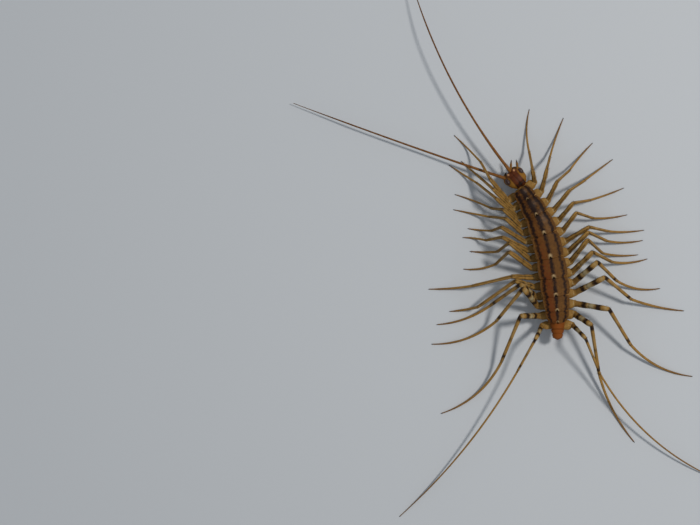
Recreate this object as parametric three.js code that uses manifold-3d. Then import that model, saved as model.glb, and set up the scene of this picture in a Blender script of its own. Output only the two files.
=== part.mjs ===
// House centipede at life size, standing on its thirty legs.
// Millimetres, +Z up, the floor at Z = 0, the head towards -Y, so the animal's right side is -X.
import * as THREE from "three";
import { mergeVertices } from "three/addons/utils/BufferGeometryUtils.js";
import Module from "manifold-3d";

const wasm = await Module();
wasm.setup();

// Driving sizes
const BODY_LENGTH = 29.6; // front of the head to the tip of the tail
const HALF = BODY_LENGTH / 2;
const GAP = 0.3; // clearance between neighbouring pieces
const LEG_PAIRS = 15;
const FIRST_LEG = 0.73 * HALF; // how far forward of the middle the first pair stands
const LEG_PITCH = 1.68; // spacing of the pairs along the body
const COXA = 1.2; // broad first article of a leg, straight out of the flank
const HIP_CLEAR = 0.06; // the trunk swells a little where a leg stands
const ANTENNA_LENGTH = 38;
const PLATE_THICKNESS = 0.5;

// The body bends gently: its line bulges to the right of the chord from tail to head.
const BEND = 3.0;
const BEND_SKEW = 0.35;
const BEND_OFFSET = 0.2;

// Each profile lists [place along the body, size], from the tail to the head.
const CORE_HALF_WIDTH = [[-13, 1.0], [-11, 1.45], [-7, 1.8], [2, 1.8], [11.5, 1.2]];
const CORE_HALF_HEIGHT = [[-13, 0.9], [-9, 1.3], [2, 1.35], [11.5, 1.05]];
const CORE_HEIGHT = [[-13, 4.0], [-4, 4.0], [6, 3.95], [11.5, 3.75]];
const PLATE_HALF_WIDTH = [[-12.4, 1.6], [-10.4, 2.2], [-6.5, 2.55], [2, 2.45], [7, 2.15], [11.3, 1.6]];
const PLATE_EDGES = [11.2, 9.2, 6.2, 2.8, -1.4, -4.8, -7.8, -10.3, -12.2]; // eight back plates

// Plan pose of each leg, first pair to last, read from the photograph. The headings are degrees
// forward of straight out: thigh heading and length, shin heading and length, foot heading and
// length, then how far the middle of the foot bows forward.
const POSE_RIGHT = [
  [85, 1.9, 80, 3.3, 72, 7.1, 0.4],
  [60, 3.7, 54, 2.2, 53, 7.0, 0.1],
  [48, 3.4, 23, 3.1, 32, 6.0, 0.1],
  [35, 4.0, 15, 3.4, 19, 5.9, 0],
  [34, 3.6, -8, 3.1, 2, 6.1, -0.1],
  [37, 3.6, -34, 3.2, -12, 5.8, -0.2],
  [14, 4.4, -29, 3.5, -16, 6.1, -0.2],
  [28, 4.5, -41, 3.7, -17, 6.1, -0.3],
  [37, 4.6, -57, 3.7, -20, 6.0, -0.25],
  [29, 4.7, -43, 4.0, -13, 6.0, -0.35],
  [25, 5.2, -60, 4.8, -28, 7.5, -0.7],
  [11, 5.6, -56, 6.1, -30, 9.2, -0.3],
  [-27, 5.8, -75, 7.2, -45, 11.9, -1.1],
  [-52, 3.3, -97, 8.5, -80, 13.1, -0.7],
  [-66, 3.0, -84, 6.7, -58, 29.0, -2.5],
];
const POSE_LEFT = [
  [67, 4.9, 80, 3.3, 64, 6.2, 0.1],
  [61, 4.9, 61, 3.7, 60, 3.2, 0],
  [58, 4.9, 58, 4.1, 51, 5.4, 0],
  [59, 4.0, 25, 1.9, 39, 6.4, 0.15],
  [57, 4.0, 25, 2.7, 29, 5.9, 0],
  [48, 4.9, -4, 1.6, 23, 3.8, -0.05],
  [44, 5.0, 6, 2.6, 25, 3.8, 0.1],
  [55, 4.6, -22, 2.4, 18, 4.4, -0.1],
  [52, 4.9, -28, 2.9, 8, 5.3, -0.35],
  [20, 3.7, 4, 6.8, 13, 7.2, -0.15],
  [35, 3.5, -18, 7.7, 8, 4.6, -0.1],
  [54, 3.5, -19, 5.9, -3, 9.6, -0.7],
  [66, 4.1, -35, 7.0, -3, 11.5, -1.1],
  [18, 3.3, -51, 8.4, -24, 13.4, -1.4],
  [-43, 2.6, -44, 6.0, -34, 32.0, -1.3],
];

// Heights of hips, knees and ankles over the floor. The knees rise towards the tail.
const HIP_HEIGHT = 3.35;
const KNEE_HEIGHT_FRONT = 5.6;
const KNEE_RISE = 0.16; // each pair behind the first
const ANKLE_HEIGHT_FRONT = 2.1;
const ANKLE_RISE = 0.07;
// Where legs cross in plan, these lift or lower a knee and an ankle: [knee, ankle] by pair.
const LIFT_RIGHT = {
  8: [0.35, 0.1],
  9: [0.8, 0.0],
  10: [0.3, 0.0],
  13: [-0.8, 0.0],
  14: [-0.6, -0.6],
  15: [0.4, 1.6],
};
const LIFT_LEFT = {
  1: [0.0, 1.3],
  2: [0.3, 0.0],
  3: [0.6, 0.0],
  4: [0.4, 0.0],
  5: [0.2, 0.0],
  8: [1.0, 0.3],
  9: [0.8, 0.0],
  10: [-1.2, 0.0],
  11: [-0.6, 0.0],
  12: [0.9, -0.5],
  13: [1.7, 0.5],
  14: [-0.6, 0.0],
  15: [-0.6, 2.2],
};
const FOOT_DROP = 2.2; // how steeply a foot comes down to the floor
const LAST_FOOT_DROP = 1.15; // the last pair stays high for most of its length

// Leg thickness: [share of the span, radius] along coxa, thigh, shin and foot.
const COXA_RADII = [[0, 0.5], [0.35, 0.6], [0.75, 0.52]];
const THIGH_RADII = [[0, 0.4], [0.16, 0.44], [0.4, 0.44], [0.47, 0.37], [0.75, 0.4], [1, 0.37]];
const SHIN_RADII = [[0.12, 0.32], [0.55, 0.3], [1, 0.3]];
const FOOT_RADII = [[0.1, 0.26], [0.25, 0.26], [0.4, 0.25], [0.55, 0.25], [0.7, 0.25], [0.85, 0.25], [1, 0.12]];
const LEG_SIDES = 6;
// The legs of the rear half are stouter, the trailing last pair is slender: [pair, share].
const STOUTNESS = [[1, 0.82], [6, 0.88], [8, 1], [12, 1.15], [14, 1.15], [15, 0.9]];
const SPUR_RADIUS = 0.2;
// Spurs at the end of the prefemur, the femur and the tibia: the ring of the leg they stand on,
// their length, and how far they lean back and up.
const SPURS = [
  { joint: 5, reach: 0.85, back: 0.25, rise: 0.45 },
  { joint: 8, reach: 0.8, back: -0.15, rise: 0.6 },
  { joint: 11, reach: 0.65, back: 0.5, rise: 0.3 },
];

const radians = THREE.MathUtils.degToRad;

// A point given by its place forward, to the animal's right, and up.
const at = (forward, right, up) => new THREE.Vector3(-right, -forward, up);

function eased(profile, place) {
  if (place <= profile[0][0]) return profile[0][1];
  for (let i = 1; i < profile.length; i++) {
    const [from, low] = profile[i - 1];
    const [to, high] = profile[i];
    if (place <= to) return THREE.MathUtils.lerp(low, high, THREE.MathUtils.smoothstep(place, from, to));
  }
  return profile[profile.length - 1][1];
}

const spineRight = (forward) =>
  BEND_OFFSET - BEND * (forward / HALF) ** 2 + BEND_SKEW * Math.sin((Math.PI * forward) / HALF);

// Heading of the body line at a place: the angle it turns to the right of straight forward.
function spineHeading(forward) {
  const step = 0.05;
  return Math.atan2(spineRight(forward + step) - spineRight(forward - step), 2 * step);
}

// A point beside the body line: along it, across it to the right, and up.
function beside(forward, across, up) {
  const heading = spineHeading(forward);
  return at(forward - across * Math.sin(heading), spineRight(forward) + across * Math.cos(heading), up);
}

// Closes a stack of rings, each with the same number of points, into one solid skin.
function loft(rings) {
  const count = rings[0].length;
  const positions = rings.flat().flatMap((p) => [p.x, p.y, p.z]);
  const faces = [];
  for (let r = 0; r + 1 < rings.length; r++) {
    for (let k = 0; k < count; k++) {
      const a = r * count + k;
      const b = r * count + ((k + 1) % count);
      faces.push(a, b, b + count, a, b + count, a + count);
    }
  }
  const last = (rings.length - 1) * count;
  for (let k = 1; k + 1 < count; k++) {
    faces.push(0, k + 1, k);
    faces.push(last, last + k, last + k + 1);
  }
  const geometry = new THREE.BufferGeometry();
  geometry.setAttribute("position", new THREE.Float32BufferAttribute(positions, 3));
  geometry.setIndex(faces);
  return geometry;
}

function toSolid(geometry) {
  const bare = geometry.clone();
  bare.deleteAttribute("normal");
  bare.deleteAttribute("uv");
  const merged = mergeVertices(bare, 1e-4);
  const solid = new wasm.Manifold(
    new wasm.Mesh({
      numProp: 3,
      vertProperties: merged.attributes.position.array,
      triVerts: new Uint32Array(merged.index.array),
    }),
  );
  if (solid.volume() > 0) return solid;
  const turned = merged.index.array.slice();
  for (let i = 0; i < turned.length; i += 3) [turned[i + 1], turned[i + 2]] = [turned[i + 2], turned[i + 1]];
  return new wasm.Manifold(
    new wasm.Mesh({
      numProp: 3,
      vertProperties: merged.attributes.position.array,
      triVerts: new Uint32Array(turned),
    }),
  );
}

// Keeps the largest closed surface of a solid as a geometry.
function toGeometry(solid) {
  const parts = solid.decompose().sort((a, b) => b.volume() - a.volume());
  const mesh = parts[0].getMesh();
  const geometry = new THREE.BufferGeometry();
  geometry.setAttribute("position", new THREE.Float32BufferAttribute(mesh.vertProperties, 3));
  geometry.setIndex(Array.from(mesh.triVerts));
  return geometry;
}

// A tube along points with a radius at each. No point of it goes under the floor, so what lies
// on the floor has a small flat there.
function tube(points, radii, sides) {
  const up = new THREE.Vector3(0, 0, 1);
  return loft(
    points.map((point, i) => {
      const before = points[Math.max(i - 1, 0)];
      const after = points[Math.min(i + 1, points.length - 1)];
      const along = after.clone().sub(before).normalize();
      const side = along.clone().cross(up).normalize();
      const top = side.clone().cross(along).normalize();
      return Array.from({ length: sides }, (_, k) => {
        const turn = (2 * Math.PI * (k + 0.5)) / sides - Math.PI / 2;
        const p = point
          .clone()
          .addScaledVector(side, radii[i] * Math.cos(turn))
          .addScaledVector(top, radii[i] * Math.sin(turn));
        p.z = Math.max(p.z, 0);
        return p;
      });
    }),
  );
}

// A short pointed spine from a base point along a direction.
function spur(base, direction, length, radius) {
  const cone = new THREE.ConeGeometry(radius, length, 5, 1);
  cone.translate(0, length / 2, 0);
  const turn = new THREE.Quaternion().setFromUnitVectors(new THREE.Vector3(0, 1, 0), direction.clone().normalize());
  cone.applyQuaternion(turn);
  cone.translate(base.x, base.y, base.z);
  return toSolid(cone);
}

const material = (colour, roughness) => new THREE.MeshStandardMaterial({ color: colour, roughness, metalness: 0 });
const PLATE = material(0x6a431e, 0.45);
const FLANK = material(0x8f6f3d, 0.6);
const LEG = material(0x8c6c33, 0.5);
const HEAD = material(0x7a3d18, 0.45);
const EYE = material(0x1a0f0a, 0.2);
const FEELER = material(0x7d4a1d, 0.5);
const TAIL = material(0xa04f16, 0.5);

const animal = new THREE.Group();

function add(name, geometry, finish) {
  const mesh = new THREE.Mesh(geometry, finish);
  mesh.name = name;
  animal.add(mesh);
}

// Trunk: the soft body under the plates, in three lengths, with a swelling at each leg.
const CORE_SIDES = 14;
const RINGS_PER_LEG = 4;
const HIP_SWELLING = 0.06;
const TRUNK_CUTS = [11.05, 3.36, -4.2, -12.3];
const legPlace = (pair) => FIRST_LEG - LEG_PITCH * (pair - 1);

function trunkRing(forward) {
  const swelling = 1 + HIP_SWELLING * Math.cos((2 * Math.PI * (forward - FIRST_LEG)) / LEG_PITCH);
  const halfWidth = eased(CORE_HALF_WIDTH, forward) * swelling;
  const halfHeight = eased(CORE_HALF_HEIGHT, forward);
  const middle = eased(CORE_HEIGHT, forward);
  return Array.from({ length: CORE_SIDES }, (_, k) => {
    const turn = (2 * Math.PI * k) / CORE_SIDES;
    const across = Math.sign(Math.cos(turn)) * Math.abs(Math.cos(turn)) ** 0.8;
    const rise = Math.sign(Math.sin(turn)) * Math.abs(Math.sin(turn)) ** 0.8;
    return beside(forward, halfWidth * across, middle + halfHeight * rise);
  });
}

["trunk_front", "trunk_middle", "trunk_rear"].forEach((name, i) => {
  const from = TRUNK_CUTS[i] - (i ? GAP / 2 : 0);
  const to = TRUNK_CUTS[i + 1] + (i < 2 ? GAP / 2 : 0);
  const count = Math.round(((from - to) / LEG_PITCH) * RINGS_PER_LEG);
  const rings = Array.from({ length: count + 1 }, (_, r) => trunkRing(THREE.MathUtils.lerp(from, to, r / count)));
  add(name, toGeometry(toSolid(loft(rings))), FLANK);
});

// Back plates: arched shields over the trunk. The rear edge of each dips to a notch in the
// middle, where the breathing slit opens, and a low keel leads to it.
const PLATE_ARCH = 0.62; // drop from the middle of a plate to its side edges
const PLATE_ACROSS = 12;
const PLATE_ALONG = 5;
const NOTCH = 0.35;
const KEEL = 0.16;

function plate(index) {
  const front = PLATE_EDGES[index - 1] - GAP / 2;
  const rear = PLATE_EDGES[index] + GAP / 2;
  const surface = (across, along, depth) => {
    const corner = 0.12 * along ** 6 + 0.16 * (1 - along) ** 5; // rounded corners
    const halfWidth = eased(PLATE_HALF_WIDTH, THREE.MathUtils.lerp(front, rear, along)) - corner * 1.2;
    const notch = NOTCH * Math.exp(-((across / 0.22) ** 2)) * along ** 3;
    const forward = THREE.MathUtils.lerp(front, rear + notch, along);
    const keel = KEEL * Math.exp(-((across / 0.2) ** 2)) * along ** 2;
    const roof = eased(CORE_HEIGHT, forward) + eased(CORE_HALF_HEIGHT, forward) + GAP + PLATE_THICKNESS;
    const arch = PLATE_ARCH * Math.abs(across) ** 2.4;
    const lip = 0.1 * along ** 3;
    return beside(forward, halfWidth * across, roof - arch + keel + lip - depth);
  };
  const rings = Array.from({ length: PLATE_ALONG + 1 }, (_, r) => {
    const along = r / PLATE_ALONG;
    const across = Array.from({ length: PLATE_ACROSS + 1 }, (_, k) => (2 * k) / PLATE_ACROSS - 1);
    return [
      ...across.map((a) => surface(a, along, 0)),
      ...across.reverse().map((a) => surface(a, along, PLATE_THICKNESS)),
    ];
  });
  return toGeometry(toSolid(loftStrip(rings)));
}

// Like loft, but the end faces are strips between the top and the bottom edge of each ring,
// so a wide thin ring closes without folding over itself.
function loftStrip(rings) {
  const geometry = loft(rings);
  const count = rings[0].length;
  const half = count / 2;
  const faces = Array.from(geometry.index.array).slice(0, (rings.length - 1) * count * 6);
  const last = (rings.length - 1) * count;
  for (let k = 0; k + 1 < half; k++) {
    const a = k;
    const b = k + 1;
    const c = count - 1 - k;
    const d = count - 2 - k;
    faces.push(a, d, b, a, c, d);
    faces.push(last + a, last + b, last + d, last + a, last + d, last + c);
  }
  geometry.setIndex(faces);
  return geometry;
}

for (let index = 1; index < PLATE_EDGES.length; index++) add(`back_plate_${index}`, plate(index), PLATE);

// Tail: the last narrow segments behind the plates.
const TAIL_PROFILE = [[-14.8, 0.62], [-14.3, 0.82], [-13.4, 1.1], [-12.6, 1.2]];
const tailRings = [-12.62, -13.0, -13.5, -14.0, -14.4, -14.8].map((forward) => {
  const radius = eased(TAIL_PROFILE, forward);
  return Array.from({ length: 10 }, (_, k) => {
    const turn = (2 * Math.PI * k) / 10;
    return beside(forward, radius * Math.cos(turn), 4.1 + 0.75 * radius * Math.sin(turn));
  });
});
add("tail", toGeometry(toSolid(loft(tailRings))), TAIL);

// Head: a rounded capsule that widens where the eyes sit.
const HEAD_PLACE = 13.12;
const HEAD_ASIDE = 0.7; // the head turns a little less than the bend of the body
const HEAD_HEIGHT = 3.7;
const HEAD_HALF = { long: 1.7, wide: 1.8, high: 1.2 };
const EYE_HALF = { long: 0.58, wide: 0.42, high: 0.5 };
const EYE_AT = { forward: 0.5, across: 1.42, up: 0.25 };
const headHeading = spineHeading(HEAD_PLACE);

// Turns a geometry made about the origin, with forward as -Y, to face as the head does.
function onHead(geometry) {
  geometry.rotateZ(-headHeading);
  const place = at(HEAD_PLACE, spineRight(HEAD_PLACE) + HEAD_ASIDE, HEAD_HEIGHT);
  geometry.translate(place.x, place.y, place.z);
  return geometry;
}

function ellipsoid(half, forward, across, up, columns, rows, grow = 0) {
  const ball = new THREE.SphereGeometry(1, columns, rows);
  ball.rotateX(Math.PI / 2);
  ball.scale(half.wide + grow, half.long + grow, half.high + grow);
  ball.translate(-across, -forward, up);
  return ball;
}

const capsule = ellipsoid(HEAD_HALF, 0, 0, 0, 20, 12);
const corner = capsule.attributes.position;
for (let i = 0; i < corner.count; i++) {
  const ahead = -corner.getY(i) / HEAD_HALF.long;
  const flatter = corner.getZ(i) > 0 ? 1 - 0.12 * Math.max(ahead, 0) : 1;
  corner.setXYZ(i, corner.getX(i) * (1 - 0.14 * Math.max(-ahead, 0)), corner.getY(i), corner.getZ(i) * flatter);
}
let head = toSolid(onHead(capsule));
for (const [side, name] of [[1, "right"], [-1, "left"]]) {
  const place = [EYE_AT.forward, side * EYE_AT.across, EYE_AT.up];
  add(`eye_${name}`, toGeometry(toSolid(onHead(ellipsoid(EYE_HALF, ...place, 12, 8)))), EYE);
  head = head.subtract(toSolid(onHead(ellipsoid(EYE_HALF, ...place, 12, 8, GAP))));
}
add("head", toGeometry(head), HEAD);

// A point given from the middle of the head: ahead along its heading, across to its right, up.
function fromHead(ahead, across, up) {
  const forward = HEAD_PLACE + ahead * Math.cos(headHeading) - across * Math.sin(headHeading);
  const right = spineRight(HEAD_PLACE) + HEAD_ASIDE + ahead * Math.sin(headHeading) + across * Math.cos(headHeading);
  return at(forward, right, HEAD_HEIGHT + up);
}

// Antennae: each leaves the brow and sweeps on a wide arc. Heading is in degrees to the right
// of straight forward, turn in degrees for each millimetre.
const ANTENNAE = {
  right: { ahead: 2.05, across: 0.05, heading: -21, turn: 0.62, heights: [4.3, 4.9, 4.6, 2.4] },
  left: { ahead: 1.5, across: -1.5, heading: -54, turn: 0.06, heights: [3.3, 2.1, 1.9, 1.1] },
};
const ANTENNA_STEPS = 24;

for (const [name, feeler] of Object.entries(ANTENNAE)) {
  const start = fromHead(feeler.ahead, feeler.across, 0);
  const heights = new THREE.SplineCurve(feeler.heights.map((h, i) => new THREE.Vector2(i, h)));
  const points = [];
  const radii = [];
  const place = start.clone();
  for (let i = 0; i <= ANTENNA_STEPS; i++) {
    const share = (i / ANTENNA_STEPS) ** 1.15;
    const before = ((i - 1) / ANTENNA_STEPS) ** 1.15;
    const length = i ? ANTENNA_LENGTH * (share - before) : 0;
    const heading = radians(feeler.heading + feeler.turn * ANTENNA_LENGTH * share);
    place.add(at(length * Math.cos(heading), length * Math.sin(heading), 0));
    points.push(at(-place.y, -place.x, heights.getPoint(share).y));
    radii.push(i === ANTENNA_STEPS ? 0.12 : i < 2 ? 0.32 : 0.26);
  }
  add(`antenna_${name}`, toGeometry(toSolid(tube(points, radii, 6))), FEELER);
}

// Poison claws under the head and the feelers of the jaws, each a curved spike through points
// given from the middle of the head: ahead, across to the right, up.
const CLAW_LINE = [[-0.2, 1.0, -1.7], [0.7, 1.25, -1.86], [1.6, 1.0, -1.9], [2.0, 0.5, -1.85]];
const CLAW_RADII = [0.42, 0.4, 0.3, 0.12];
const FEELER_LINE = {
  right: [[1.25, 1.35, -0.87], [1.6, 1.65, -0.85], [2.05, 1.9, -0.55], [2.45, 2.1, -0.1]],
  left: [[1.78, 0.4, -0.87], [2.15, 0.7, -0.85], [2.6, 1.1, -0.55], [2.95, 1.45, -0.1]],
};
const FEELER_RADII = [0.27, 0.27, 0.25, 0.1];
const MOUTHPART_STEPS = 7;

function curvedSpike(points, radii) {
  const curve = new THREE.CatmullRomCurve3(points.map((point) => fromHead(...point)));
  const thickness = new THREE.SplineCurve(radii.map((r, i) => new THREE.Vector2(i, r)));
  const line = curve.getPoints(MOUTHPART_STEPS);
  const sizes = line.map((_, i) => thickness.getPoint(i / MOUTHPART_STEPS).y);
  return toGeometry(toSolid(tube(line, sizes, 6)));
}

for (const [side, which] of [[1, "right"], [-1, "left"]]) {
  const claw = CLAW_LINE.map(([ahead, across, up]) => [ahead, side * across, up]);
  add(`poison_claw_${which}`, curvedSpike(claw, CLAW_RADII), HEAD);
  add(`jaw_feeler_${which}`, curvedSpike(FEELER_LINE[which], FEELER_RADII), HEAD);
}

// Legs
const direction = (side, heading) => at(Math.sin(radians(heading)), side * Math.cos(radians(heading)), 0);

function legGeometry(side, pair, pose, lift) {
  const [thighHeading, thigh, shinHeading, shin, footHeading, foot, bow] = pose;
  const forward = legPlace(pair);
  const reach = eased(CORE_HALF_WIDTH, forward) + GAP + HIP_CLEAR;
  const kneeHeight = KNEE_HEIGHT_FRONT + KNEE_RISE * (pair - 1) + lift[0];
  const ankleHeight = ANKLE_HEIGHT_FRONT + ANKLE_RISE * (pair - 1) + lift[1];
  const root = beside(forward, side * reach, HIP_HEIGHT);
  const hip = beside(forward, side * (reach + COXA), HIP_HEIGHT);
  const knee = hip.clone().addScaledVector(direction(side, thighHeading), thigh);
  const ankle = knee.clone().addScaledVector(direction(side, shinHeading), shin);
  const stout = eased(STOUTNESS, pair);
  const drop = pair === LEG_PAIRS ? LAST_FOOT_DROP : FOOT_DROP;
  const points = [];
  const radii = [];
  const put = (point, height, radius) => {
    const thick = Math.max(radius * stout, Math.min(radius, 0.25));
    const rest = thick * Math.cos(Math.PI / LEG_SIDES);
    points.push(point.clone().setZ(Math.max(height, rest)));
    radii.push(thick);
  };
  for (const [share, radius] of COXA_RADII) put(root.clone().lerp(hip, share), HIP_HEIGHT, radius);
  for (const [share, radius] of THIGH_RADII)
    put(hip.clone().lerp(knee, share), HIP_HEIGHT + (kneeHeight - HIP_HEIGHT) * Math.sin((share * Math.PI) / 2) ** 1.3, radius);
  for (const [share, radius] of SHIN_RADII)
    put(knee.clone().lerp(ankle, share), THREE.MathUtils.lerp(kneeHeight, ankleHeight, share), radius);
  for (const [share, radius] of FOOT_RADII)
    put(
      ankle
        .clone()
        .addScaledVector(direction(side, footHeading), foot * share)
        .addScaledVector(direction(side, footHeading + 90), 4 * bow * share * (1 - share)),
      ankleHeight * (1 - share) ** drop,
      radius,
    );
  let solid = toSolid(tube(points, radii, LEG_SIDES));
  for (const { joint, reach: length, back, rise } of SPURS) {
    const along = points[joint].clone().sub(points[joint - 1]).normalize();
    const across = along.clone().cross(new THREE.Vector3(0, 0, 1)).normalize();
    const way = along.multiplyScalar(0.75).addScaledVector(across, side * back);
    way.z += rise;
    solid = solid.add(spur(points[joint], way, length, SPUR_RADIUS));
  }
  return toGeometry(solid);
}

for (const [side, which, poses, lifts] of [
  [1, "right", POSE_RIGHT, LIFT_RIGHT],
  [-1, "left", POSE_LEFT, LIFT_LEFT],
]) {
  poses.forEach((pose, i) => {
    const pair = i + 1;
    const number = String(pair).padStart(2, "0");
    add(`leg_${which}_${number}`, legGeometry(side, pair, pose, lifts[pair] ?? [0, 0]), LEG);
  });
}

// The origin is the middle of the footprint, on the floor.
const box = new THREE.Box3().setFromObject(animal);
const middle = box.getCenter(new THREE.Vector3());
animal.position.set(-middle.x, -middle.y, -box.min.z);

export default animal;
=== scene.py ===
# %% [markdown]
# # A house centipede, life size, standing still
# The animal is a slender body, 30 mm long, under eight back plates, on fifteen pairs of banded
# legs. The imported model is the fixed frame, and it is loaded first.

# %% Load the frame
import math

import bpy
import numpy as np
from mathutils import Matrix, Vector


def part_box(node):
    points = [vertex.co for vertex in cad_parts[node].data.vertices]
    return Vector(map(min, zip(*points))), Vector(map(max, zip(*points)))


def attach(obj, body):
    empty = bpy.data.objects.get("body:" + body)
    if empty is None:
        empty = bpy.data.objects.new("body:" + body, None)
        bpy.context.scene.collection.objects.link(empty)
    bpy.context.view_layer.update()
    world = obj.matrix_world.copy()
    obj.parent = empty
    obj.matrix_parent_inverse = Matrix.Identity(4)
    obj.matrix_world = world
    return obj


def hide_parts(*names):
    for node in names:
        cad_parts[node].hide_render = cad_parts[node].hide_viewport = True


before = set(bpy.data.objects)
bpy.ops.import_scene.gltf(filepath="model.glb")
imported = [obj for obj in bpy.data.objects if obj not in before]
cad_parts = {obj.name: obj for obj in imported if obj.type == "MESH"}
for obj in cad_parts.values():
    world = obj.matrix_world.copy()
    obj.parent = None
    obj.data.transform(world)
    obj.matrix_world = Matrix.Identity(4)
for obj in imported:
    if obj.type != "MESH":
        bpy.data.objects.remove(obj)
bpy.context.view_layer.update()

print(len(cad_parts), "solids in the frame")

# %% [markdown]
# ## Where things are
# Every place on the animal is given by how far forward it is, how far to the animal's right,
# and how high, in millimetres. The body is bent, so most parts hang on a curved line through
# it. Writing that line as one function keeps every piece on the same bend. The model's origin
# is the middle of its footprint, so the right eye, whose place both files know, gives the shift.

# %% Body line
MM = 0.001
BODY_LENGTH = 29.6
HALF = BODY_LENGTH / 2
BEND = 3.0
BEND_SKEW = 0.35
BEND_OFFSET = 0.2


def at(forward, right, up):
    """A point in X, Y, Z: X is minus the way to the right, Y is minus the way forward."""
    forward, right, up = np.broadcast_arrays(forward, right, up)
    return np.stack([-right, -forward, up], -1).astype(float)


def spine_right(forward):
    """How far right the body line lies: a parabola that bulges right, plus one small sine."""
    forward = np.asarray(forward, float)
    skew = BEND_SKEW * np.sin(np.pi * forward / HALF)
    return BEND_OFFSET - BEND * (forward / HALF) ** 2 + skew


def spine_heading(forward):
    """The angle of the body line, from the slope between two near points on it."""
    step = 0.05
    return np.arctan2(spine_right(forward + step) - spine_right(forward - step), 2 * step)


def beside(forward, across, up):
    """A point at a distance across the body line, square to it."""
    heading = spine_heading(forward)
    place = forward - across * np.sin(heading)
    return at(place, spine_right(forward) + across * np.cos(heading), up)


def eased(profile, place):
    """A listed size at any place: between two stations it follows 3t^2 - 2t^3."""
    stations, sizes = np.array(profile, float).T
    place = np.clip(np.asarray(place, float), stations[0], stations[-1])
    i = np.clip(np.searchsorted(stations, place, side="right") - 1, 0, len(stations) - 2)
    t = (place - stations[i]) / (stations[i + 1] - stations[i])
    return sizes[i] + (sizes[i + 1] - sizes[i]) * t * t * (3 - 2 * t)


HEAD_PLACE = 13.12
HEAD_ASIDE = 0.7  # the head turns a little less than the bend of the body
HEAD_HEIGHT = 3.7
HEAD_HEADING = float(spine_heading(HEAD_PLACE))


def from_head(ahead, across, up):
    """A point given from the middle of the head, turned as the head is."""
    cosine, sine = math.cos(HEAD_HEADING), math.sin(HEAD_HEADING)
    forward = HEAD_PLACE + ahead * cosine - across * sine
    right = float(spine_right(HEAD_PLACE)) + HEAD_ASIDE + ahead * sine + across * cosine
    return at(forward, right, HEAD_HEIGHT + up)


EYE_PLACE = (0.5, 1.42, 0.25)  # ahead, across, up from the middle of the head
eye_low, eye_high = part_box("eye_right")
SHIFT = np.array((eye_low + eye_high) / 2) / MM - from_head(*EYE_PLACE)
print("the origin is shifted by", np.round(SHIFT, 3), "mm")

# %% [markdown]
# ## The camera
# The photograph looks straight down on the animal, which sits in the right half of the picture.
# A long lens far above keeps the view flat. The camera is turned so that the head points
# up and to the left, as in the picture.

# %% Camera
FRAME_WIDTH = 119.0
FRAME_CENTRE = at(8.04, -32.58, 4.0) + SHIFT
CAMERA_RISE = 700.0
SENSOR = 36.0
TURN = math.atan2(0.3007, -0.9537)

camera_data = bpy.data.cameras.new("camera")
camera_data.sensor_width = SENSOR
camera_data.lens = SENSOR * CAMERA_RISE / FRAME_WIDTH
camera_data.clip_start = 0.01
camera = bpy.data.objects.new("camera", camera_data)
bpy.context.scene.collection.objects.link(camera)
camera.location = (FRAME_CENTRE + [0, 0, CAMERA_RISE]) * MM
camera.rotation_euler = (0, 0, TURN)
bpy.context.scene.camera = camera
print("lens", round(camera_data.lens, 1), "mm at", round(camera.location.z, 3), "m")

# %% [markdown]
# ## From arrays to meshes
# Each piece is worked out as whole arrays of points, on a grid of two parameters, and put into
# a mesh in one go. Points carry numbers besides their place, such as how dark the pattern is
# there, and the materials read those. A set of pieces, such as a body with its bristles, is
# a list of small meshes that are joined before they become one object.

# %% Mesh helpers
MASKS = ("dark", "warm", "pale", "shine")


def shell(points, faces, **masks):
    """A small mesh: its points, its faces and one number for each point in each mask."""
    points = np.asarray(points, float).reshape(-1, 3)
    full = {m: np.broadcast_to(np.ravel(masks.get(m, 0.0)), len(points)) for m in MASKS}
    return {"points": points, "faces": faces, "masks": full}


def grid_faces(rows, columns, around=True):
    """Quads between neighbouring rows of a grid, whose last column may join its first."""
    r, c = np.meshgrid(np.arange(rows - 1), np.arange(columns - (not around)), indexing="ij")
    a = (r * columns + c).ravel()
    b = (r * columns + (c + 1) % columns).ravel()
    return np.stack([a, a + columns, b + columns, b], 1)


def joined(parts):
    """Several small meshes as one: each one's faces count on from the points before it."""
    starts = np.cumsum([0] + [len(p["points"]) for p in parts])
    faces = [f + s for p, s in zip(parts, starts) for f in p["faces"]]
    masks = {m: np.concatenate([p["masks"][m] for p in parts]) for m in MASKS}
    return shell(np.concatenate([p["points"] for p in parts]), faces, **masks)


def add_piece(name, mesh, material, slot, *nodes):
    """Puts a small mesh into Blender, in metres in the row's frame, riding on the root."""
    data = bpy.data.meshes.new(name)
    faces = [face for block in mesh["faces"] for face in np.atleast_2d(block).tolist()]
    data.from_pydata(((mesh["points"] + SHIFT) * MM).tolist(), [], faces)
    for mask in MASKS:
        layer = data.attributes.new(mask, "FLOAT", "POINT")
        layer.data.foreach_set("value", np.ascontiguousarray(mesh["masks"][mask], np.float32))
    data.polygons.foreach_set("use_smooth", np.ones(len(data.polygons), bool))
    data.materials.append(material)
    data.update()
    piece = bpy.data.objects.new(name, data)
    bpy.context.scene.collection.objects.link(piece)
    if nodes:
        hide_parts(*nodes)
    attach(piece, "root")
    print(name, len(data.polygons), "faces")
    return piece


# %% [markdown]
# ## A tube along a line
# Legs, antennae and jaws are all tubes of changing thickness on a bent line. A ring stands
# square to the line at each of its points. Bevelled curves could do this too, but a tube
# of our own can carry ridges round it, dark bands along it, and a closed dome at each end.

# %% Tube
UP = np.array([0.0, 0.0, 1.0])


def unit(vectors):
    """Vectors divided by their own length."""
    return vectors / np.linalg.norm(vectors, axis=-1, keepdims=True)


def frame_along(points):
    """At each point of a line: the way it runs, the level way to its side, and its top."""
    along = unit(np.gradient(points, axis=0))
    side = unit(np.cross(along, UP))
    return along, side, np.cross(side, along)


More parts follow.
